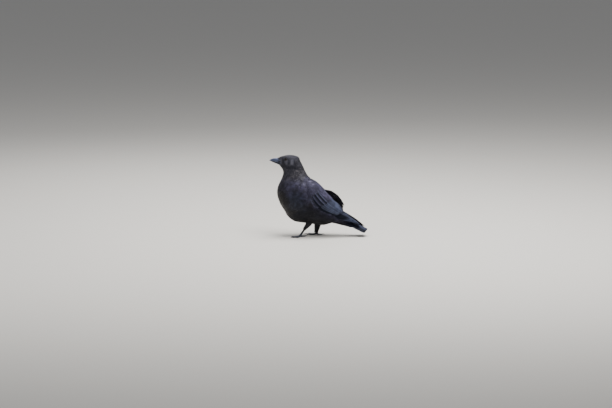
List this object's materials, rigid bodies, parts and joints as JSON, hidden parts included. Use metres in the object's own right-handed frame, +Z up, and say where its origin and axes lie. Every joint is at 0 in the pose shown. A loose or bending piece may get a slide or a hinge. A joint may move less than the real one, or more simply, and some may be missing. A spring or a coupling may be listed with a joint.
{
  "type": "carrion crow",
  "caption": "Carrion crow standing with one foot forward, head up and body sloping down to the tail, one wing held a little off the back.",
  "frame": {"origin": "middle of the bounding box's base, on the ground between the feet and the tail", "axes": "+Z up; the bird faces -X, so +X runs to the tail tip; +Y is its right side and -Y its left"},
  "size_m": [0.3548, 0.1234, 0.2945],
  "materials": {
    "plumage": "glossy black body feathers with a faint violet-blue sheen",
    "flight_feathers": "black wing and tail feathers with a blue-grey sheen",
    "bill": "smooth black horn with a grey-blue shine",
    "eye": "wet and clear over a dark brown iris",
    "leg_skin": "black scaled skin, satin",
    "claw": "polished black horn"
  },
  "bodies": {
    "root": {"head": "plumage", "neck": "plumage", "trunk": "plumage", "tail": "flight_feathers", "bill_upper": "bill", "bill_lower": "bill", "eye_left": "eye", "eye_right": "eye", "wing_left_coverts": "flight_feathers", "wing_left_secondaries": "flight_feathers", "wing_left_primaries": "flight_feathers", "thigh_left": "plumage", "tarsus_left": "leg_skin", "toe_left_hallux": "leg_skin", "toe_left_inner": "leg_skin", "toe_left_middle": "leg_skin", "toe_left_outer": "leg_skin", "claw_left_hallux": "claw", "claw_left_inner": "claw", "claw_left_middle": "claw", "claw_left_outer": "claw", "wing_right_coverts": "flight_feathers", "wing_right_secondaries": "flight_feathers", "wing_right_primaries": "flight_feathers", "thigh_right": "plumage", "tarsus_right": "leg_skin", "toe_right_hallux": "leg_skin", "toe_right_inner": "leg_skin", "toe_right_middle": "leg_skin", "toe_right_outer": "leg_skin", "claw_right_hallux": "claw", "claw_right_inner": "claw", "claw_right_middle": "claw", "claw_right_outer": "claw"}
  },
  "joints": []
}
